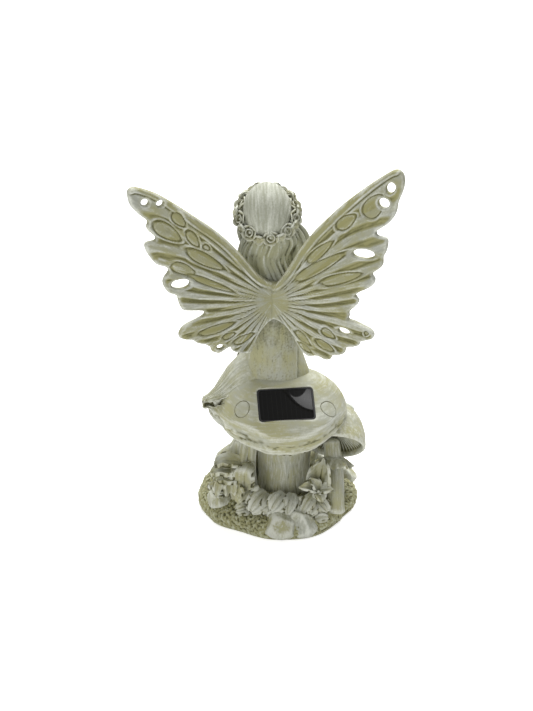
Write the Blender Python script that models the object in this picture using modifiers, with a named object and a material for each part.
"""A winged fairy seated on a toadstool: a cold-cast resin garden statue with a solar light.

Units are metres, +Z is up and the fairy faces -Y. The origin is on the ground, under the
middle of the base. The casting is one solid: base, toadstools, plants and figure. The pair of
wings is a second casting, pegged and bonded into the figure's back. The solar module drops into
a pocket in the big cap, and its lead runs through the cap to the light in the small toadstool.
"""
import math

import bmesh
import bpy
from mathutils import Matrix, Vector

MM = 0.001
JOINT_GAP = 0.3 * MM  # glue line or air between two pieces that meet
CASTING_FACETS_KEPT = 0.56  # of the facets that the union leaves
WING_FACETS_KEPT = 0.42

# Base: how far its edge reaches from the middle, every 30 degrees from +X towards +Y
BASE_REACH = [r * MM for r in (53, 51, 46, 48.5, 51, 49.5, 54.4, 55, 54, 52, 53, 54)]
BASE_EDGE_HEIGHT = 6 * MM
GROUND_HEIGHT = 17 * MM
BASE_CHAMFER = 1.5 * MM

# Big toadstool
STEM_AXIS = Vector((-4.8, 1.0, 0)) * MM
STEM_RADIUS = 18 * MM
COLLAR_HEIGHT = 50 * MM
COLLAR_REACH = 5 * MM
CAP_CENTRE = Vector((1.0, 0, 70)) * MM  # middle of the rim
# how far its rim reaches, every 30 degrees from +X towards +Y
CAP_REACH = [r * MM for r in (44.5, 39.5, 39, 42.5, 43, 42.5, 47, 46.5, 46.5, 50, 48, 43.5)]
CAP_RISE = 33 * MM
CAP_FULLNESS = 2.6  # 2 is an ellipse; more is flatter on top and steeper at the rim
CAP_FLANK = 1.4  # fullness of the flank on the +X side, under the skirt
CAP_FLANK_ANGLE = 80  # degrees to either side of +X over which the flank fills out
CAP_SLOPE = 1.2  # fullness of the slope on the far side of the window, towards -X and -Y
CAP_SLOPE_ANGLE, CAP_SLOPE_FROM, CAP_SLOPE_TO = 213, 5, 75  # its middle, and where it starts and ends to fill out
CAP_TIP_BACK = 9  # degrees that the cap leans towards +Y
CAP_TIP_SIDE = 3.5  # degrees that the cap leans towards -X
SPOT_RADIUS = 5.5 * MM
SPOT_RISE = 0.6 * MM
SPOT_PLACES = [(21 * MM, 26 * MM), (-31.5 * MM, 23.5 * MM)]

# Small toadstool, leaning out beside the big one
SMALL_FOOT = Vector((-38, 24, 11)) * MM
SMALL_CAP_CENTRE = Vector((-39.5, 4, 46)) * MM
SMALL_CAP_AXIS = Vector((-0.08, -0.79, 0.61)).normalized()
SMALL_CAP_RADIUS = 19.4 * MM
SMALL_CAP_RISE = 30 * MM
SMALL_STEM_RADIUS = 5.4 * MM
SMALL_COLLAR_PLACE = 0.86  # share of the way up the stem
GILLS = 16

# Solar module
WINDOW_WIDTH = 36.5 * MM
WINDOW_LENGTH = 23.5 * MM
WINDOW_CENTRE = Vector((-5.5, 29.2, 91)) * MM  # on the face of the solar cell
WINDOW_SLOPE = 35  # degrees from level
WINDOW_YAW = 6  # degrees about the vertical, towards -X
CELL_THICKNESS = 2 * MM
RIM_WALL = 0.9 * MM  # the tray's wall beside the cell
SURROUND_RISE = 0.5 * MM  # the casting stands this far above the cell's face
TRAY_WALL = 1.6 * MM
TRAY_DEPTH = 17 * MM
BOARD_THICKNESS = 1.2 * MM
BOARD_WIDTH = 26 * MM
BOARD_LENGTH = 17 * MM
BATTERY_RADIUS = 5 * MM
BATTERY_LENGTH = 28 * MM

# Light in the small cap
LENS_FACING = Vector((-0.56, -0.50, 0.66)).normalized()
LENS_RADIUS = 4.5 * MM
LENS_RISE = 1.6 * MM
LENS_DEPTH = 2.5 * MM
LED_RADIUS = 2.5 * MM
LED_LENGTH = 7 * MM
LEAD_RADIUS = 0.9 * MM

# Figure
HIP_CENTRE = Vector((2, -2, 106)) * MM
CHEST_CENTRE = Vector((4, 1, 160)) * MM
NECK_RADIUS = 5 * MM
HEAD_CENTRE = Vector((6.5, 2, 210.5)) * MM
HEAD_HALF = Vector((13, 15, 16.5)) * MM
HEAD_TIP_BACK = 20  # degrees that the face looks up
WREATH_RADIUS = 17 * MM
WREATH_TIP_BACK = 42

# Wings
WING_HUB = Vector((3.6, 18, 161)) * MM
WING_SWEEP = 24  # degrees that each wing is swept back from the figure's back
WING_THICKNESS = 3.2 * MM
SPAR_RADIUS = 2.6 * MM
RIB_RADIUS = WING_THICKNESS / 2 + 0.8 * MM
CELL_RISE = 0.7 * MM
PEG_RADIUS = 3.5 * MM
PEG_DEPTH = 6 * MM
PAD_RADIUS = 10 * MM
BACK_SEAT_Y = 12.5 * MM  # the flat on the back that the wings' pad rests on

# Outline of each wing in its own plane, in millimetres out from and up from the hub
PLUS_X_WING = [
    (-4, 9), (1, 11), (6, 14), (11, 20), (18, 28.5), (26, 39), (34, 47.5), (42, 55), (52, 63),
    (62, 71.5), (72, 79), (80, 83), (86, 86), (90, 85.5), (91.5, 81), (88, 72), (81, 65),
    (81, 61), (76, 54), (77, 51), (82, 50), (81, 44), (76, 36.5), (68.5, 31.5), (71.5, 25),
    (70, 18.5), (63.5, 13), (62, 8), (58, 2), (47, 0), (45, -2), (53, -6), (62, -11),
    (61, -16.5), (52, -19.5), (46, -23), (41.5, -27), (37, -31), (29, -28), (24, -33.5),
    (16, -35), (12, -27), (6, -18), (1, -14), (-4, -12),
]
MINUS_X_WING = [
    (-4, 9), (2.5, 11), (6, 14), (10, 20), (14, 27), (20.5, 38), (28, 49), (35, 57), (44, 67),
    (55, 77), (65, 86), (74, 93), (79, 95.5), (83, 92), (83.5, 86), (81, 77), (78.5, 67),
    (70, 57.5), (67.5, 54.5), (74, 52.5), (74.5, 46), (72, 36), (66, 28.5), (67.5, 23),
    (63, 17.5), (55, 12), (58, 8), (53, 1.5), (50, -4.5), (57, -6), (65.5, -9), (68, -13),
    (62, -17.5), (58, -21), (50.5, -25), (45, -31), (40, -35), (32, -34), (26, -35), (22, -33),
    (17.5, -28), (10, -17.5), (4, -14), (-4, -12),
]
# Holes through each wing: centre, half length, half width, turn in degrees
PLUS_X_HOLES = [
    (81.5, 76, 2.3, 2.6, 0), (72, 74, 2.5, 2.0, 0), (60.5, 20.5, 6.2, 3.2, 12),
    (35.5, -27, 2.6, 1.5, 12),
]
MINUS_X_HOLES = [
    (75.8, 84, 3.4, 2.6, 60), (71.7, 74, 3.5, 3.3, 0), (60, 40, 7.2, 3.0, 14),
    (48.7, -13.5, 3.8, 2.0, -4),
]
# Where each rib ends, on its own scallop
PLUS_X_RIBS = [
    (84, 70), (79, 58), (78, 47), (68, 30), (64, 15), (50, 3), (56, -10), (44, -23), (30, -27),
    (19, -32),
]
MINUS_X_RIBS = [
    (80, 80), (72, 63), (71, 48), (66, 29), (64, 20), (54, 5), (62, -10), (46, -27), (34, -31),
    (23, -30),
]
# Raised oval cells between the ribs: one end, the other end, half width
PLUS_X_CELLS = [
    ((76.5, 62.5), (60.5, 49.5), 3.6), ((65, 66.5), (57, 57.5), 2.4), ((56, 41.5), (33, 25.5), 3.2),
    ((66.5, 34), (51.5, 26), 2.8), ((49, -15), (27, -12), 2.4),
]
MINUS_X_CELLS = [
    ((43, 53.5), (55, 64), 3.4), ((30, 25), (49, 38.5), 3.4), ((34, 16), (60, 27), 3.0),
    ((34.5, -14.5), (43, -18.5), 2.0), ((31, -23), (42.5, -28), 2.4),
]


# Scene and mesh helpers

def clear_scene():
    for obj in list(bpy.data.objects):
        bpy.data.objects.remove(obj)


def collection(name):
    made = bpy.data.collections.new(name)
    bpy.context.scene.collection.children.link(made)
    return made


def material(name, colour, roughness, metallic=0.0):
    made = bpy.data.materials.new(name)
    made.use_nodes = True
    shader = made.node_tree.nodes["Principled BSDF"]
    shader.inputs["Base Color"].default_value = (*colour, 1)
    shader.inputs["Roughness"].default_value = roughness
    shader.inputs["Metallic"].default_value = metallic
    made.diffuse_color = (*colour, 1)
    return made


def object_from(bm, name, home):
    """Turns a bmesh into an object in the collection `home`, with its faces pointing out."""
    bmesh.ops.recalc_face_normals(bm, faces=bm.faces)
    bmesh.ops.triangulate(bm, faces=[f for f in bm.faces if len(f.verts) > 3])
    mesh = bpy.data.meshes.new(name)
    bm.to_mesh(mesh)
    bm.free()
    made = bpy.data.objects.new(name, mesh)
    home.objects.link(made)
    return made


def as_mesh(obj, home):
    """Replaces a curve object by the mesh it draws, with its caps welded on."""
    mesh = bpy.data.meshes.new_from_object(obj)
    bm = bmesh.new()
    bm.from_mesh(mesh)
    bmesh.ops.remove_doubles(bm, verts=bm.verts, dist=0.00001)
    bm.transform(obj.matrix_world)
    name = obj.name
    bpy.data.objects.remove(obj)
    return object_from(bm, name, home)


def frame_of(direction, side=Vector((1, 0, 0))):
    """A rotation whose Z is `direction` and whose X is as close as it can be to `side`."""
    z = direction.normalized()
    x = (side - z * side.dot(z)).normalized()
    return Matrix((x, z.cross(x), z)).transposed().to_4x4()


def edges_within(bm, verts):
    chosen = set(verts)
    return [e for e in bm.edges if e.verts[0] in chosen and e.verts[1] in chosen]


def loft(name, rings, home):
    """A closed body through rings of points, each ring a list of as many points."""
    bm = bmesh.new()
    loops = []
    for ring in rings:
        verts = bmesh.ops.create_circle(bm, segments=len(ring), radius=1)["verts"]
        for vert, point in zip(verts, ring):
            vert.co = point
        loops.append(edges_within(bm, verts))
    for lower, upper in zip(loops, loops[1:]):
        bmesh.ops.bridge_loops(bm, edges=lower + upper)
    bmesh.ops.holes_fill(bm, edges=loops[0] + loops[-1], sides=0)
    return object_from(bm, name, home)


def oval(placing, half_x, half_y, sides):
    """Points of an oval in the XY plane of `placing`."""
    steps = [2 * math.pi * i / sides for i in range(sides)]
    return [placing @ Vector((half_x * math.cos(a), half_y * math.sin(a), 0)) for a in steps]


def limb(name, stations, home, sides=10, side=Vector((1, 0, 0))):
    """A body through ovals square to a path. A station is (x, y, z, half width, half depth), in mm."""
    points = [Vector(s[:3]) * MM for s in stations]
    rings = []
    for i, (point, station) in enumerate(zip(points, stations)):
        ahead = points[min(i + 1, len(points) - 1)]
        behind = points[max(i - 1, 0)]
        placing = Matrix.Translation(point) @ frame_of(ahead - behind, side)
        rings.append(oval(placing, station[3] * MM, station[4] * MM, sides))
    return loft(name, rings, home)


def tube(name, points, radius, home, radii=None, resolution=0, curve_steps=2):
    """A smooth round tube through points, its radius scaled at each one by `radii`."""
    curve = bpy.data.curves.new(name, "CURVE")
    curve.dimensions = "3D"
    curve.bevel_depth = radius
    curve.bevel_resolution = resolution
    curve.resolution_u = curve_steps
    curve.use_fill_caps = True
    spline = curve.splines.new("BEZIER")
    spline.bezier_points.add(len(points) - 1)
    for i, (knot, point) in enumerate(zip(spline.bezier_points, points)):
        knot.co = point
        knot.handle_left_type = knot.handle_right_type = "AUTO"
        knot.radius = radii[i] if radii else 1
    obj = bpy.data.objects.new(name, curve)
    home.objects.link(obj)
    return as_mesh(obj, home)


def boulder(name, centre, half, turn, home):
    """A rounded stone: a ball pressed towards a block, then turned."""
    bm = bmesh.new()
    bmesh.ops.create_icosphere(bm, subdivisions=2, radius=1)
    for vert in bm.verts:
        vert.co = Vector([math.copysign(abs(c) ** 0.75, c) for c in vert.co])
    spin = Matrix.Rotation(math.radians(turn), 4, "Z") @ Matrix.Rotation(math.radians(turn / 4), 4, "X")
    bm.transform(Matrix.Translation(Vector(centre) * MM) @ spin @ Matrix.Diagonal((*(Vector(half) * MM), 1)))
    return object_from(bm, name, home)


def ball(name, centre, half, home, spin=None, rings=8, sides=12):
    bm = bmesh.new()
    bmesh.ops.create_uvsphere(bm, u_segments=sides, v_segments=rings, radius=1)
    turn = spin or Matrix.Identity(4)
    bm.transform(Matrix.Translation(centre) @ turn @ Matrix.Diagonal((*half, 1)))
    return object_from(bm, name, home)


def cylinder(name, placing, radius, depth, home, sides=24, top_radius=None):
    """A cylinder or cone that runs `depth` up the Z of `placing` from its origin."""
    bm = bmesh.new()
    top = radius if top_radius is None else top_radius
    bmesh.ops.create_cone(
        bm, cap_ends=True, segments=sides, radius1=radius, radius2=top, depth=depth,
        matrix=placing @ Matrix.Translation((0, 0, depth / 2)),
    )
    return object_from(bm, name, home)


def block(name, placing, size, home, corner=0.0):
    """A box centred on `placing`, its upright corners rounded to `corner`."""
    bm = bmesh.new()
    bmesh.ops.create_cube(bm, size=1, matrix=Matrix.Diagonal((*size, 1)))
    if corner:
        upright = [e for e in bm.edges if abs(e.verts[0].co.z - e.verts[1].co.z) > size[2] / 2]
        bmesh.ops.bevel(bm, geom=upright, offset=corner, segments=3, profile=0.5, affect="EDGES")
    bm.transform(placing)
    return object_from(bm, name, home)


def leaf(name, root, towards, length, width, home, arch=0.35, fold=0.25, wave=0.0):
    """A leaf from `root` towards a direction, all in mm. It arches over and folds along its midrib."""
    thickness = 1.3 * MM
    bm = bmesh.new()
    bmesh.ops.create_grid(bm, x_segments=3, y_segments=2, size=0.5)
    direction = Vector(towards).normalized()
    side = direction.cross(Vector((0, 0, 1)))
    up = side.cross(direction).normalized()
    for vert in bm.verts:
        along = vert.co.x + 0.5
        across = 2 * vert.co.y
        spread = 0.16 + 0.84 * math.sin(math.pi * min(1, along * 0.93 + 0.05)) ** 0.8
        rise = arch * length * math.sin(math.pi * along * 0.8)
        rise += fold * width * abs(across) * spread
        rise += wave * math.sin(9 * along + 2 * across)
        vert.co = (
            direction * length * along
            + side.normalized() * across * spread * width / 2
            + up * rise
        ) * MM + Vector(root) * MM
    made = object_from(bm, name, home)
    shell = made.modifiers.new("Thickness", "SOLIDIFY")
    shell.thickness = thickness
    shell.offset = 0
    made.modifiers.new("Facets", "TRIANGULATE")
    return made


def fuse(target, others):
    """Joins every object of the collection `others` to the target."""
    joined = target.modifiers.new("Fuse", "BOOLEAN")
    joined.operation = "UNION"
    joined.solver = "EXACT"
    joined.operand_type = "COLLECTION"
    joined.collection = others
    for obj in others.objects:
        obj.hide_render = True
        obj.display_type = "WIRE"


def thin_out(obj, share):
    """Merges small facets until a share of them is left."""
    thinned = obj.modifiers.new("Thin out", "DECIMATE")
    thinned.ratio = share
    thinned.use_collapse_triangulate = True


def cut(target, cutter):
    taken = target.modifiers.new(f"Cut {cutter.name}", "BOOLEAN")
    taken.operation = "DIFFERENCE"
    taken.solver = "EXACT"
    taken.object = cutter
    cutter.hide_render = True
    cutter.display_type = "WIRE"


def shade(obj, angle=35):
    obj.data.shade_smooth()
    obj.data.set_sharp_from_angle(angle=math.radians(angle))


# Frames that several pieces share

def cap_frame():
    lean = Matrix.Rotation(math.radians(-CAP_TIP_BACK), 4, "X")
    lean = Matrix.Rotation(math.radians(-CAP_TIP_SIDE), 4, "Y") @ lean
    return Matrix.Translation(CAP_CENTRE) @ lean


def window_frame():
    """Origin on the middle of the solar cell's face, Z out of the cap, Y down its slope."""
    slope = Matrix.Rotation(math.radians(-WINDOW_SLOPE), 4, "X")
    return Matrix.Translation(WINDOW_CENTRE) @ Matrix.Rotation(math.radians(WINDOW_YAW), 4, "Z") @ slope


def small_cap_frame():
    return Matrix.Translation(SMALL_CAP_CENTRE) @ frame_of(SMALL_CAP_AXIS)


def wing_frame(hand):
    """X runs out along the wing and Y up it. hand is 1 for the wing on +X and -1 for the one on -X.

    Z points out of the front face on +X and out of the back face on -X.
    """
    sweep = math.radians(WING_SWEEP)
    out = Vector((hand * math.cos(sweep), math.sin(sweep), 0))
    up = Vector((0, 0, 1))
    return Matrix.Translation(WING_HUB) @ Matrix((out, up, out.cross(up))).transposed().to_4x4()


# Base and plants

def reach_at(table, angle):
    """The radius in a direction, by smooth steps between the radii of a table."""
    place = (angle / (2 * math.pi) * len(table)) % len(table)
    i = int(place)
    share = (1 - math.cos(math.pi * (place - i))) / 2
    return table[i] * (1 - share) + table[(i + 1) % len(table)] * share


def ground(home):
    sides = 44
    levels = (  # share of the reach, height
        (1 - BASE_CHAMFER / BASE_REACH[0], 0),
        (1, BASE_CHAMFER),
        (1, BASE_EDGE_HEIGHT),
        (0.93, BASE_EDGE_HEIGHT + 0.35 * (GROUND_HEIGHT - BASE_EDGE_HEIGHT)),
        (0.78, BASE_EDGE_HEIGHT + 0.65 * (GROUND_HEIGHT - BASE_EDGE_HEIGHT)),
        (0.5, GROUND_HEIGHT),
    )
    rings = []
    for share, height in levels:
        angles = [2 * math.pi * i / sides for i in range(sides)]
        rings.append([
            Vector((math.cos(a), math.sin(a), 0)) * reach_at(BASE_REACH, a) * share + Vector((0, 0, height))
            for a in angles
        ])
    return loft("statue", rings, home)


def rocks(home):
    stones = (  # centre, half sizes, turn
        ((2, 36, 11), (11, 9, 8), 25),
        ((-13, 37, 11), (10, 8, 8), -30),
        ((40, 13, 14), (10, 8, 8), 40),
        ((-20, -38, 12), (12, 9, 8), 15),
        ((-44, -20, 10), (9, 10, 7), 60),
    )
    for i, (centre, half, turn) in enumerate(stones):
        boulder(f"rock_{i + 1}", centre, half, turn, home)


def plants(home):
    leaves = (  # root, direction, length, width
        ((14, 12, 16), (0.9, 0.45, 0.55), 31, 14),
        ((14, 6, 18), (1.0, 0.1, 0.60), 32, 15),
        ((14, 0, 16), (0.9, -0.4, 0.55), 30, 14),
        ((16, 14, 14), (0.35, 0.30, 1.0), 24, 14),
        ((16, 12, 14), (0.75, 0.75, 0.40), 27, 13),
        ((30, 10, 10), (0.5, 0.7, 0.50), 17, 11),
        ((14, 20, 14), (0.35, 0.95, 0.25), 17, 11),
        ((8, 22, 14), (0.15, 1.0, 0.35), 17, 11),
        ((2, 22, 14), (0.0, 1.0, 0.30), 17, 11),
        ((-6, 22, 14), (-0.1, 1.0, 0.35), 17, 11),
        ((-12, 22, 14), (-0.3, 0.9, 0.30), 17, 11),
        ((-17, 20, 14), (-0.2, 0.6, 0.70), 18, 12),
        ((-18, 14, 14), (-0.7, 0.6, 0.35), 20, 12),
        ((-25, 20, 12), (0.02, -0.1, 1.0), 33, 15),
        ((-30, 10, 12), (-0.8, 0.5, 0.45), 18, 11),
        ((-30, -4, 12), (-0.9, -0.1, 0.55), 18, 11),
        ((-20, -18, 14), (-0.6, -0.8, 0.45), 20, 12),
        ((-10, -20, 14), (-0.2, -1.0, 0.45), 20, 12),
        ((2, -18, 14), (0.2, -1.0, 0.50), 19, 12),
        ((12, -12, 14), (0.8, -0.6, 0.60), 22, 13),
    )
    for i, (root, towards, length, width) in enumerate(leaves):
        leaf(f"leaf_{i + 1}", root, towards, length, width, home)
    flower("lily", Vector((-24, 30, 26)), Vector((-0.2, 0.8, 0.6)), 13, home)
    flower("left_bloom", Vector((24, 20, 34)), Vector((0.3, 0.9, 0.4)), 10, home)


def flower(name, centre, facing, petal, home):
    """Five petals around a short throat that stands on its stalk. Sizes are in mm."""
    petals = 5
    turn = frame_of(facing)
    for i in range(petals):
        angle = 2 * math.pi * i / petals
        towards = turn @ Vector((math.cos(angle), math.sin(angle), 0.45))
        leaf(f"{name}_petal_{i + 1}", centre, towards, petal, petal * 0.62, home, arch=0.12)
    stalk_foot = Vector((centre.x * 0.95, centre.y * 0.8, 13))
    tube(f"{name}_stalk", [stalk_foot * MM, centre * MM], 2.4 * MM, home, radii=[1, 0.9])


# Toadstools

def big_stem(home):
    flare = (  # height in mm, share of the radius
        (10, 1.02), (22, 0.95), (38, 0.98), (52, 1.02), (72, 1.0),
    )
    rings = []
    for height, share in flare:
        placing = Matrix.Translation(STEM_AXIS + Vector((0, 0, height * MM)))
        rings.append(oval(placing, STEM_RADIUS * share, STEM_RADIUS * share, 24))
    loft("stem", rings, home)


def ruffled_collar(name, placing, inner, reach, drop, waves, home):
    """A thin skirt round a stem whose edge waves up and down."""
    sides = waves * 4
    thickness = 1.4 * MM
    rings = []
    for radius, height in ((inner, 0), (inner + reach, -drop), (inner + reach, -drop - thickness), (inner, -2 * thickness)):
        ring = []
        for i in range(sides):
            angle = 2 * math.pi * i / sides
            wave = math.cos(waves * angle) * reach * 0.22 if radius > inner else 0
            ring.append(placing @ Vector((
                (radius + wave) * math.cos(angle), (radius + wave) * math.sin(angle), height + wave * 0.8,
            )))
        rings.append(ring)
    loft(name, rings, home)


def big_cap(home):
    sides = 32
    place = cap_frame()
    angles = [2 * math.pi * i / sides for i in range(sides)]
    rings = []
    for share, drop in ((0.4, 2), (0.86, 5.5), (0.96, 4)):
        rings.append([place @ cap_point(a, share, -drop * MM) for a in angles])
    for share in (1, 0.985, 0.93, 0.83, 0.68, 0.48, 0.2):
        rings.append([place @ cap_point(a, share) for a in angles])
    loft("cap", rings, home)
    window_surround(home)
    for i, (x, y) in enumerate(SPOT_PLACES):
        spot(f"spot_{i + 1}", x, y, home)


def cap_point(angle, share, height=None):
    """A point of the big cap at a share of its reach: on the dome, or at a height from the rim."""
    radius = share * reach_at(CAP_REACH, angle)
    if height is None:
        height = cap_height(radius * math.cos(angle), radius * math.sin(angle))
    return Vector((radius * math.cos(angle), radius * math.sin(angle), height))


def cap_height(x, y):
    """Height of the dome above its rim."""
    angle = math.atan2(y, x)
    filled = min(1.0, abs(math.degrees(angle)) / CAP_FLANK_ANGLE)
    filled = filled * filled * (3 - 2 * filled)
    fullness = CAP_FLANK + (CAP_FULLNESS - CAP_FLANK) * filled
    off_slope = abs((math.degrees(angle) - CAP_SLOPE_ANGLE + 180) % 360 - 180)
    filled = min(1.0, max(0.0, (off_slope - CAP_SLOPE_FROM) / (CAP_SLOPE_TO - CAP_SLOPE_FROM)))
    filled = filled * filled * (3 - 2 * filled)
    fullness = min(fullness, CAP_SLOPE + (CAP_FULLNESS - CAP_SLOPE) * filled)
    share = math.hypot(x, y) / reach_at(CAP_REACH, angle)
    return CAP_RISE * max(0.0, 1 - share ** fullness) ** (1 / fullness)


def window_surround(home):
    """The cap swells up to a flat around the solar window."""
    place = window_frame()
    rings = []
    for height, reach in ((-15, -1), (-5.5, 9), (-2.4, 7), (-0.8, 4.5), (0.2, 2), (SURROUND_RISE / MM, 0.7)):
        half = Vector((WINDOW_WIDTH / 2, WINDOW_LENGTH / 2)) + Vector((reach, reach)) * MM
        rings.append(rounded_box(place @ Matrix.Translation((0, 0, height * MM)), half, (4 + max(reach, 0)) * MM))
    loft("window_surround", rings, home)


def rounded_box(placing, half, corner):
    """Points round a rectangle whose corners are rounded with three steps each."""
    points = []
    for quarter, (sx, sy) in enumerate(((1, 1), (-1, 1), (-1, -1), (1, -1))):
        for step in range(3):
            angle = math.pi / 2 * (quarter + step / 2)
            points.append(placing @ Vector((
                sx * (half.x - corner) + corner * math.cos(angle),
                sy * (half.y - corner) + corner * math.sin(angle), 0,
            )))
    return points


def spot(name, x, y, home):
    """A flat round spot that lies on the dome and stands a little proud of it."""
    step = 0.5 * MM
    slope_x = (cap_height(x + step, y) - cap_height(x - step, y)) / (2 * step)
    slope_y = (cap_height(x, y + step) - cap_height(x, y - step)) / (2 * step)
    normal = Vector((-slope_x, -slope_y, 1))
    placing = cap_frame() @ Matrix.Translation((x, y, cap_height(x, y))) @ frame_of(normal)
    sunk = 4 * MM
    cylinder(name, placing @ Matrix.Translation((0, 0, -sunk)), SPOT_RADIUS, sunk + SPOT_RISE, home, sides=16)


def small_toadstool(home):
    stations = []
    for share, radius in ((-0.08, 1.25), (0.12, 1.05), (0.5, 0.95), (1.12, 1.15)):
        point = SMALL_FOOT.lerp(SMALL_CAP_CENTRE, share) / MM
        stations.append((*point, SMALL_STEM_RADIUS / MM * radius, SMALL_STEM_RADIUS / MM * radius))
    limb("small_stem", stations, home, sides=14)
    small_cap(home)
    along = (SMALL_CAP_CENTRE - SMALL_FOOT)
    placing = Matrix.Translation(SMALL_FOOT + along * SMALL_COLLAR_PLACE) @ frame_of(along)
    ruffled_collar("small_collar", placing, SMALL_STEM_RADIUS, 5 * MM, 2.5 * MM, 7, home)


def small_cap(home):
    """A dome whose hollow underside is ribbed with gills."""
    place = small_cap_frame()
    sides = 2 * GILLS
    gill = 0.8 * MM
    rings = []
    for share, height in ((0.25, 6 * MM), (0.84, 1 * MM)):
        ring = oval(place @ Matrix.Translation((0, 0, height)), share * SMALL_CAP_RADIUS, share * SMALL_CAP_RADIUS, sides)
        rings.append([p + SMALL_CAP_AXIS * (gill if i % 2 else -gill) for i, p in enumerate(ring)])
    rings.append(oval(place @ Matrix.Translation((0, 0, -1 * MM)), 0.95 * SMALL_CAP_RADIUS, 0.95 * SMALL_CAP_RADIUS, sides))
    for degrees in (4, 30, 56, 82):
        angle = math.radians(degrees)
        height = Matrix.Translation((0, 0, SMALL_CAP_RISE * math.sin(angle)))
        rings.append(oval(place @ height, SMALL_CAP_RADIUS * math.cos(angle), SMALL_CAP_RADIUS * math.cos(angle), sides))
    loft("small_cap", rings, home)


# Figure

def torso(home):
    limb("torso", (
        (0, -1, 92, 23, 17), (1, -1, 104, 20, 16), (2, -1, 117, 16.5, 14), (3, 0, 132, 12.5, 10.5),
        (3.5, 0.5, 147, 13.5, 10.5), (4, 0.5, 160, 15.5, 11.5), (4.5, 1, 171, 17, 11), (5, 1.5, 180, 15, 8.5),
        (5.5, 2, 185, 8, 6.5), (6, 2, 197, 5.5, 5.5),
    ), home, sides=14)
    for hand in (-1, 1):
        ball(f"bust_{hand + 2}", Vector((4 + hand * 6, -6, 164)) * MM, Vector((6, 5.6, 6)) * MM, home, rings=6, sides=8)


def arms(home):
    for hand, name in ((1, "left"), (-1, "right")):
        limb(f"{name}_arm", (
            (5 + hand * 12, 1, 179, 4, 4), (5 + hand * 17, 1, 174, 5.4, 5.4), (5 + hand * 20, -2, 160, 4.6, 4.6),
            (4 + hand * 22, -6, 145, 4, 4), (4 + hand * 19, -12, 139, 3.2, 3.2), (4 + hand * 13, -22, 130, 2.8, 2.6),
            (4 + hand * 8, -30, 123, 2.2, 2.2), (4 + hand * 5, -34, 120, 3.2, 2.0), (4 + hand * 1, -38, 118, 2.6, 1.4),
        ), home, sides=8)


def legs(home):
    """Shins that hang from the skirt, and slippers that rest on the base."""
    limb("left_shin", (
        (14, -47, 100, 7, 7), (17, -52, 84, 6, 6), (20, -51, 66, 5.6, 6.2), (23, -47, 46, 4, 4.4),
        (25, -43, 32, 3.2, 3.6), (26, -41, 24, 3.6, 4.2), (31, -39, 18, 3.8, 3.4), (39, -36, 13.5, 3.4, 2.4),
        (43, -34, 12, 1.4, 1.2),
    ), home, sides=8)
    limb("right_shin", (
        (-2, -47, 100, 7, 7), (2, -52, 84, 6, 6), (6, -52, 66, 5.6, 6.2), (10, -49, 46, 4, 4.4),
        (12, -46, 32, 3.2, 3.6), (13, -45, 25, 3.6, 4.2), (17, -46, 19, 3.8, 3.4), (25, -48, 13, 3.4, 2.4),
        (29, -49, 11, 1.4, 1.2),
    ), home, sides=8)


def skirt(home):
    """The lap of the dress, from the hips over the knees, pleated at its hem."""
    sides = 24
    rings = []
    stations = (  # centre, half width, half height, pleat
        ((2, 6, 107), 17, 13, 0), ((2.5, -10, 108), 19.5, 13, 0.3), ((3.5, -26, 108), 19, 11.5, 0.6),
        ((5, -40, 105), 18.5, 12, 0.9), ((7, -50, 94), 17.5, 9, 1.2), ((9, -53, 80), 18, 7, 1.5),
        ((11, -53, 68), 19, 6.5, 1.8),
    )
    points = [Vector(s[0]) * MM for s in stations]
    for i, (_, half_x, half_y, pleat) in enumerate(stations):
        path = points[min(i + 1, len(points) - 1)] - points[max(i - 1, 0)]
        placing = Matrix.Translation(points[i]) @ frame_of(path)
        ring = []
        for j in range(sides):
            angle = 2 * math.pi * j / sides
            swell = pleat * (1 if j % 2 else -1)
            ring.append(placing @ (Vector(((half_x + swell) * math.cos(angle), (half_y + swell) * math.sin(angle), 0)) * MM))
        rings.append(ring)
    loft("skirt", rings, home)
    train(home)


def train(home):
    """The side of the skirt, swept in pleats over the cap's flank to a point beyond its rim."""
    pleats = 6
    columns = pleats * 2 + 1
    rows = (  # towards +Y, over the top, towards -Y, in mm
        ((7, 14, 99), (20, 5, 117), (16, -16, 112)),
        ((21, 15.5, 95), (31, 7, 107), (28, -16, 101)),
        ((31, 16, 89), (38.5, 8, 94), (36, -15, 90)),
        ((39.5, 15, 85), (44.5, 8, 87), (41.5, -12, 81)),
        ((47, 12, 82.5), (50, 8, 83), (47, -6, 78)),
    )
    rings = []
    for near, top, front in rows:
        crest = []
        for j in range(columns):
            t = j / (columns - 1)
            point = Vector(near) * (1 - t) ** 2 + Vector(top) * 2 * t * (1 - t) + Vector(front) * t * t
            point += Vector((0.35, 0.3, 0.8)) * (0.9 if j % 2 else -0.9)
            crest.append(point * MM)
        sunk = Vector((6, 0, 14 - 1.5 * len(rings))) * MM
        under = [p - sunk for p in reversed(crest)]
        rings.append(crest + under)
    loft("train", rings, home)


def head(home):
    tip = Matrix.Rotation(math.radians(HEAD_TIP_BACK), 4, "X")
    ball("skull", HEAD_CENTRE, HEAD_HALF, home, spin=tip, rings=12, sides=18)
    place = Matrix.Translation(HEAD_CENTRE) @ tip

    def at(x, y, z):
        return place @ (Vector((x, y, z)) * MM)

    ball("chin", at(0, -9.5, -12.5), Vector((6, 5, 5)) * MM, home, spin=tip, rings=6, sides=10)
    limb("nose", [(*(at(0, y, z) / MM), w, d) for y, z, w, d in (
        (-13.2, 2.0, 1.0, 1.4), (-15.0, -1.5, 1.3, 1.6), (-15.8, -4.0, 1.9, 1.7), (-14.0, -5.6, 1.6, 1.2),
    )], home, sides=6)


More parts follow.
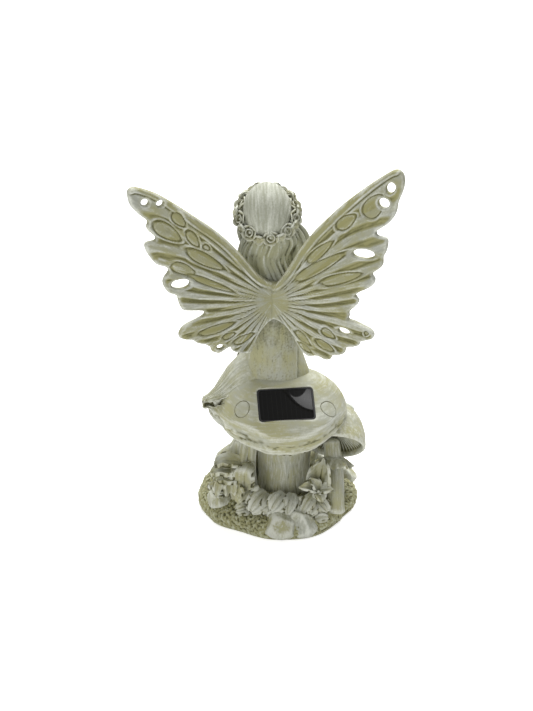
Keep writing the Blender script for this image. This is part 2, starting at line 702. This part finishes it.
def hair(home):
    """A mass of hair down the back, with wavy locks over it and over the shoulders."""
    tip = Matrix.Rotation(math.radians(HEAD_TIP_BACK), 4, "X")
    crown = HEAD_HALF + Vector((2.2, 1.5, 1.8)) * MM
    ball("crown", HEAD_CENTRE + Vector((0, 2.0, 1.6)) * MM, crown, home, spin=tip, rings=10, sides=18)
    limb("hair_mass", (
        (6.5, 8, 212, 13, 8), (6.5, 8, 200, 17, 8.5), (5.5, 8, 188, 20, 6.5), (4.5, 8, 178, 20, 5),
        (4, 8.5, 168, 16, 3.5), (4, 9, 158, 9, 2),
    ), home, sides=14)
    locks = 9
    for i in range(locks):
        side = -1 + 2 * i / (locks - 1)
        spread = 4.5 + side * 1.5
        points = []
        for step, height in enumerate((208, 199, 190, 181, 172, 165)):
            wave = 1.8 * math.sin(step * 1.35 + i)
            x = spread + side * (11 + 1.9 * step - 0.30 * step * step * (step > 2)) + wave
            y = 6 + 8 * (1 - side * side) ** 0.5 + (2 if step < 2 else 0) - 0.9 * step * abs(side) - 0.6 * step
            points.append(Vector((x, y, height)) * MM)
        tube(f"lock_{i + 1}", points, 3.2 * MM, home, radii=(0.6, 1, 1.05, 1, 0.8, 0.3), curve_steps=1)
    for hand in (-1, 1):
        points = [Vector((6 + hand * x, y, z)) * MM for x, y, z in (
            (12, 0, 212), (15.5, 0, 202), (13.5, -3, 192), (14, -7, 182), (11, -10, 172), (12.5, -11, 163),
        )]
        tube(f"front_lock_{hand + 2}", points, 3.8 * MM, home, radii=(0.6, 1, 1.1, 1, 0.8, 0.3), curve_steps=1)


def wreath(home):
    """A ring of leaves and roses worn aslant on the back of the head."""
    blooms = 9
    place = Matrix.Translation(HEAD_CENTRE + Vector((0, 2.5, 2)) * MM)
    place = place @ Matrix.Rotation(math.radians(-WREATH_TIP_BACK), 4, "X")
    for i in range(blooms):
        angle = 2 * math.pi * (i + 0.25) / blooms
        out = Vector((math.cos(angle), math.sin(angle), 0))
        centre = place @ (out * WREATH_RADIUS)
        facing = frame_of(place.to_3x3() @ (out + Vector((0, 0, 0.8))))
        ball(f"rose_{i + 1}", centre, Vector((3.4, 3.4, 2.4)) * MM, home, spin=facing, rings=4, sides=6)
        between = angle + math.pi / blooms
        out = Vector((math.cos(between), math.sin(between), 0))
        along = place.to_3x3() @ Vector((-math.sin(between), math.cos(between), 0.25))
        root = place @ (out * (WREATH_RADIUS + 0.3 * MM) - Vector((-math.sin(between), math.cos(between), 0)) * 4 * MM)
        leaf(f"wreath_leaf_{i + 1}", root / MM, along, 8, 5, home, arch=0.1, fold=0.1)
    band = [place @ (Vector((math.cos(a), math.sin(a), 0)) * WREATH_RADIUS) for a in (math.pi * i / 6 for i in range(12))]
    closed_band("wreath_band", band, 2.2 * MM, home)


def closed_band(name, points, radius, home):
    """A four-sided band through points that closes on itself."""
    curve = bpy.data.curves.new(name, "CURVE")
    curve.dimensions = "3D"
    curve.bevel_depth = radius
    curve.bevel_resolution = 0
    curve.resolution_u = 1
    spline = curve.splines.new("BEZIER")
    spline.bezier_points.add(len(points) - 1)
    for knot, point in zip(spline.bezier_points, points):
        knot.co = point
        knot.handle_left_type = knot.handle_right_type = "AUTO"
    spline.use_cyclic_u = True
    obj = bpy.data.objects.new(name, curve)
    home.objects.link(obj)
    return as_mesh(obj, home)


# Wings

def wing_plate(hand, outline, holes, home):
    """The flat of one wing, cut to its scalloped outline and pierced."""
    curve = bpy.data.curves.new("plate", "CURVE")
    curve.dimensions = "2D"
    curve.fill_mode = "BOTH"
    curve.resolution_u = 1
    curve.extrude = WING_THICKNESS / 2
    for loop in [outline] + [oval_knots(*hole) for hole in holes]:
        spline = curve.splines.new("BEZIER")
        spline.bezier_points.add(len(loop) - 1)
        for knot, (u, v) in zip(spline.bezier_points, loop):
            knot.co = (u * MM, v * MM, 0)
            knot.handle_left_type = knot.handle_right_type = "AUTO"
        spline.use_cyclic_u = True
    obj = bpy.data.objects.new(f"plate_{hand + 2}", curve)
    obj.matrix_world = wing_frame(hand)
    home.objects.link(obj)
    return as_mesh(obj, home)


def oval_knots(u, v, half_length, half_width, turn):
    """Eight points round an oval, in mm in the wing's plane."""
    angle = math.radians(turn)
    points = []
    for i in range(8):
        around = 2 * math.pi * i / 8
        x, y = half_length * math.cos(around), half_width * math.sin(around)
        points.append((u + x * math.cos(angle) - y * math.sin(angle), v + x * math.sin(angle) + y * math.cos(angle)))
    return points


def wing_relief(hand, outline, tips, cells, home):
    """The thick leading edge, the ribs that fan out from the hub and the raised cells."""
    place = wing_frame(hand)
    leading = outline[1:13]
    spar = [place @ (Vector((u, v - 1.5, 0)) * MM) for u, v in leading]
    thinning = [1.2 - 0.6 * i / (len(spar) - 1) for i in range(len(spar))]
    tube(f"spar_{hand + 2}", spar, SPAR_RADIUS, home, radii=thinning, curve_steps=1)
    for i, (u, v) in enumerate(tips):
        end = Vector((u, v, 0))
        sag = Vector((0, -1, 0)) * 0.05 * end.length * (1 if v > 0 else -0.6)
        points = [place @ (p * MM) for p in (end * 0.12, end * 0.5 + sag, end)]
        tube(f"rib_{hand + 2}_{i + 1}", points, RIB_RADIUS, home, radii=(1.2, 1, 0.8), curve_steps=1)
    for i, (start, end, half_width) in enumerate(cells):
        middle = (Vector(start) + Vector(end)) / 2
        reach = Vector(end) - Vector(start)
        turn = math.degrees(math.atan2(reach.y, reach.x))
        rings = []
        for height, share in ((0, 1), (WING_THICKNESS / 2 + 0.2 * MM, 1), (WING_THICKNESS / 2 + CELL_RISE, 0.8)):
            knots = oval_knots(*middle, share * reach.length / 2, share * half_width, turn)
            rings.append([place @ Vector((u * MM, v * MM, -hand * height)) for u, v in knots])
        loft(f"cell_{hand + 2}_{i + 1}", rings, home)


def wings(home, helpers):
    pair = wing_plate(1, PLUS_X_WING, PLUS_X_HOLES, home)
    pair.name = "wing_pair"
    wing_plate(-1, MINUS_X_WING, MINUS_X_HOLES, helpers)
    wing_relief(1, PLUS_X_WING, PLUS_X_RIBS, PLUS_X_CELLS, helpers)
    wing_relief(-1, MINUS_X_WING, MINUS_X_RIBS, MINUS_X_CELLS, helpers)
    behind = WING_HUB.y + 3 * MM
    towards_back = Matrix.Translation((WING_HUB.x, behind, WING_HUB.z)) @ Matrix.Rotation(math.radians(90), 4, "X")
    pad_reach = behind - BACK_SEAT_Y - JOINT_GAP
    cylinder("pad", towards_back, PAD_RADIUS * 0.8, pad_reach, helpers, sides=16, top_radius=PAD_RADIUS)
    peg_reach = behind - BACK_SEAT_Y + PEG_DEPTH - JOINT_GAP
    cylinder("peg", towards_back, PEG_RADIUS, peg_reach, helpers, sides=12)
    return pair


def wing_seat(cutters):
    """What is cut from the figure's back: a flat for the pad and a hole for the peg."""
    towards_back = Matrix.Translation((WING_HUB.x, BACK_SEAT_Y, WING_HUB.z)) @ Matrix.Rotation(math.radians(-90), 4, "X")
    flat = cylinder("pad_seat", towards_back, PAD_RADIUS + 1 * MM, 30 * MM, cutters)
    hole_top = towards_back @ Matrix.Translation((0, 0, -PEG_DEPTH))
    hole = cylinder("peg_hole", hole_top, PEG_RADIUS + JOINT_GAP, PEG_DEPTH + 30 * MM, cutters, sides=12)
    return flat, hole


# Solar module and light

def lens_frame():
    """Origin where the lens's axis meets the small dome, Z out of it."""
    place = small_cap_frame()
    facing = place.to_3x3().inverted() @ LENS_FACING
    half = Vector((SMALL_CAP_RADIUS, SMALL_CAP_RADIUS, SMALL_CAP_RISE))
    point = Vector([h * h * n for h, n in zip(half, facing)])
    point /= math.sqrt(sum((h * n) ** 2 for h, n in zip(half, facing)))
    return Matrix.Translation(place @ point) @ frame_of(LENS_FACING)


def lead_path():
    """From inside the tray's end wall to the back of the LED."""
    start = window_frame() @ Vector((-WINDOW_WIDTH / 2 + 3 * MM, 0, -9 * MM))
    leave = window_frame() @ Vector((-WINDOW_WIDTH / 2 - 6 * MM, -1 * MM, -11 * MM))
    end = lens_frame() @ Vector((0, 0, -LENS_DEPTH - LED_LENGTH - 2 * JOINT_GAP))
    enter = lens_frame() @ Vector((0, 0, -LENS_DEPTH - LED_LENGTH - 5 * MM))
    return [start, leave, enter, end]


def module_cuts(cutters):
    place = window_frame()
    above = 14 * MM
    depth = TRAY_DEPTH + JOINT_GAP
    pocket = block(
        "module_pocket", place @ Matrix.Translation((0, 0, (above - depth) / 2)),
        (WINDOW_WIDTH, WINDOW_LENGTH, above + depth), cutters, corner=2.5 * MM,
    )
    back = lens_frame() @ Matrix.Translation((0, 0, -LENS_DEPTH))
    seat = cylinder("lens_seat", back, LENS_RADIUS + JOINT_GAP, LENS_DEPTH + 10 * MM, cutters, sides=20)
    deep = lens_frame() @ Matrix.Translation((0, 0, -LENS_DEPTH - LED_LENGTH - 2 * JOINT_GAP))
    bore = cylinder("led_bore", deep, LED_RADIUS + JOINT_GAP, LED_LENGTH + 5 * MM, cutters, sides=16)
    channel = tube("lead_channel", lead_path(), LEAD_RADIUS + 0.6 * MM, cutters, resolution=1, curve_steps=4)
    return pocket, seat, bore, channel


def solar_module(home, cutters, channel):
    """The tray that fills the pocket, with the cell as its lid and the electronics under it."""
    place = window_frame()
    width = WINDOW_WIDTH - 2 * JOINT_GAP
    length = WINDOW_LENGTH - 2 * JOINT_GAP
    tray = block(
        "module_tray", place @ Matrix.Translation((0, 0, -TRAY_DEPTH / 2)),
        (width, length, TRAY_DEPTH), home, corner=2.2 * MM,
    )
    ledge = CELL_THICKNESS + JOINT_GAP
    hollow_depth = TRAY_DEPTH - TRAY_WALL
    hollow = block(
        "tray_hollow", place @ Matrix.Translation((0, 0, -hollow_depth / 2 + 1 * MM)),
        (width - 2 * TRAY_WALL, length - 2 * TRAY_WALL, hollow_depth + 2 * MM), cutters, corner=1 * MM,
    )
    rebate = block(
        "cell_rebate", place @ Matrix.Translation((0, 0, 1 * MM - ledge / 2)),
        (width - 2 * RIM_WALL, length - 2 * RIM_WALL, ledge + 2 * MM), cutters, corner=1.6 * MM,
    )
    for cutter in (hollow, rebate, channel):
        cut(tray, cutter)
    cell_width = width - 2 * RIM_WALL - 2 * JOINT_GAP
    cell_length = length - 2 * RIM_WALL - 2 * JOINT_GAP
    cell = block(
        "solar_cell", place @ Matrix.Translation((0, 0, -CELL_THICKNESS / 2)),
        (cell_width, cell_length, CELL_THICKNESS), home, corner=1.3 * MM,
    )
    battery_depth = -TRAY_DEPTH + TRAY_WALL + JOINT_GAP + BATTERY_RADIUS
    along = place @ Matrix.Translation((-BATTERY_LENGTH / 2, 0, battery_depth)) @ Matrix.Rotation(math.radians(90), 4, "Y")
    battery = cylinder("rechargeable_battery", along, BATTERY_RADIUS, BATTERY_LENGTH, home, sides=20)
    board_depth = battery_depth + BATTERY_RADIUS + JOINT_GAP + BOARD_THICKNESS / 2
    board = block(
        "circuit_board", place @ Matrix.Translation((2 * MM, 0, board_depth)),
        (BOARD_WIDTH, BOARD_LENGTH, BOARD_THICKNESS), home,
    )
    return tray, cell, battery, board


def light(home):
    """The LED in its bore, the lens over it and the lead to the tray."""
    place = lens_frame()
    lens_rings = []
    for height, radius in ((-LENS_DEPTH, 1), (0, 1), (0.55 * LENS_RISE, 0.8), (LENS_RISE, 0.35)):
        if height == -LENS_DEPTH:
            height += JOINT_GAP
        lens_rings.append(oval(place @ Matrix.Translation((0, 0, height)), radius * LENS_RADIUS, radius * LENS_RADIUS, 20))
    lens = loft("light_lens", lens_rings, home)
    foot = -LENS_DEPTH - LED_LENGTH
    led_rings = []
    for height, radius in ((0, 1), (0.62, 1), (0.85, 0.75), (0.97, 0.3)):
        raised = place @ Matrix.Translation((0, 0, foot + height * LED_LENGTH))
        led_rings.append(oval(raised, radius * LED_RADIUS, radius * LED_RADIUS, 12))
    led = loft("led", led_rings, home)
    path = lead_path()
    path[-1] = path[-1] - (path[-1] - path[-2]).normalized() * JOINT_GAP
    lead = tube("led_lead", path, LEAD_RADIUS, home, resolution=1, curve_steps=4)
    return lens, led, lead


def build():
    clear_scene()
    parts = collection("fairy_statue")
    forms = collection("casting_forms")
    wing_forms = collection("wing_forms")
    cutters = collection("cutters")

    statue = ground(parts)
    rocks(forms)
    plants(forms)
    big_stem(forms)
    stem_top = Matrix.Translation(STEM_AXIS + Vector((0, 0, COLLAR_HEIGHT)))
    ruffled_collar("collar", stem_top, STEM_RADIUS * 0.97, COLLAR_REACH, 3.5 * MM, 7, forms)
    big_cap(forms)
    small_toadstool(forms)
    torso(forms)
    arms(forms)
    legs(forms)
    skirt(forms)
    head(forms)
    hair(forms)
    wreath(forms)
    pair = wings(parts, wing_forms)
    pocket, seat, bore, channel = module_cuts(cutters)
    tray, cell, battery, board = solar_module(parts, cutters, channel)
    lens, led, lead = light(parts)

    fuse(statue, forms)
    thin_out(statue, CASTING_FACETS_KEPT)
    for cutter in (pocket, seat, bore, channel, *wing_seat(cutters)):
        cut(statue, cutter)
    fuse(pair, wing_forms)
    thin_out(pair, WING_FACETS_KEPT)

    resin = material("antiqued_resin", (0.40, 0.41, 0.30), 0.85)
    finishes = (
        (statue, resin), (pair, resin),
        (tray, material("black_abs", (0.02, 0.02, 0.02), 0.4)),
        (cell, material("solar_glass", (0.01, 0.01, 0.014), 0.08)),
        (battery, material("battery_sleeve", (0.08, 0.35, 0.12), 0.35)),
        (board, material("circuit_laminate", (0.02, 0.18, 0.06), 0.5)),
        (lens, material("lens_acrylic", (0.85, 0.86, 0.82), 0.1)),
        (led, material("led_epoxy", (0.9, 0.9, 0.85), 0.15)),
        (lead, material("lead_pvc", (0.35, 0.02, 0.02), 0.45)),
    )
    for obj, finish in finishes:
        obj.data.materials.append(finish)
        shade(obj)


build()
